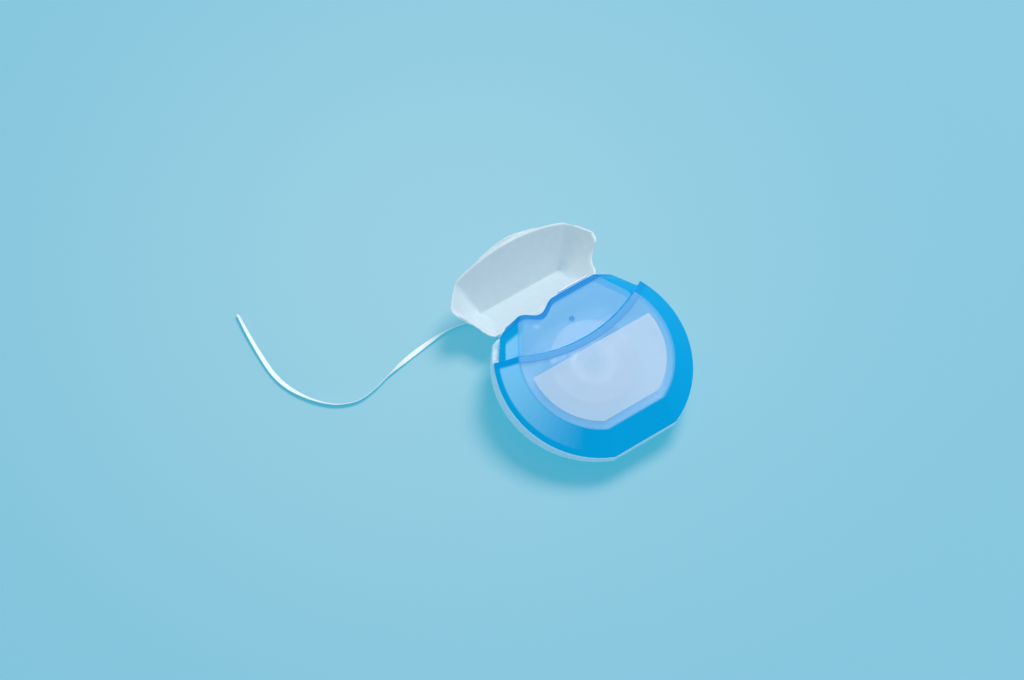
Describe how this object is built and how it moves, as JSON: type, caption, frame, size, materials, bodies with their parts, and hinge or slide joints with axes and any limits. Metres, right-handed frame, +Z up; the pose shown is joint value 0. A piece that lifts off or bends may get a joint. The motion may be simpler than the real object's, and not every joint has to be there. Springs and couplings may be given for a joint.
{
  "type": "dental tape dispenser",
  "caption": "Round flip-top tape dispenser, lid hinged wide open under the propped case, with a turning spool and a loose end of tape.",
  "frame": {"origin": "middle of the object's own box at table level, without the loose tape, standing as pictured: propped on its open lid", "axes": "+Z up; +Y from the case's bottom flat towards the hinge and the open lid; +X along the hinge"},
  "size_m": [0.1096, 0.1094, 0.0262],
  "materials": {
    "milky_plastic": "smooth milky polypropylene",
    "clear_blue_plastic": "glossy clear blue",
    "clear_film": "satin clear film, bare",
    "bright_steel": "bright cold-rolled strip",
    "white_spool_plastic": "smooth",
    "white_tape": "soft sheen of waxed tape"
  },
  "bodies": {
    "case": {"back_shell": "milky_plastic", "front_shell": "clear_blue_plastic", "label_film": "clear_film", "cutter_blade": "bright_steel", "living_hinge": "milky_plastic", "living_hinge_left": "milky_plastic", "living_hinge_right": "milky_plastic", "tape_lead": "white_tape", "tape_tail": "white_tape"},
    "lid": {"lid": "milky_plastic"},
    "spool": {"spool_core": "white_spool_plastic", "tape_roll": "white_tape", "tape_outer_turns": "white_tape"}
  },
  "joints": [
    {"name": "lid_hinge", "type": "hinge", "parent": "case", "child": "lid", "pos_m": [0, 0.01511, 0.01048], "axis": [1, 0, 0], "range_deg": [0, 120]},
    {"name": "spool_spin", "type": "hinge", "parent": "case", "child": "spool", "pos_m": [0, -0.0102, 0.01583], "axis": [0, -0.2121, 0.9772], "continuous": true}
  ]
}
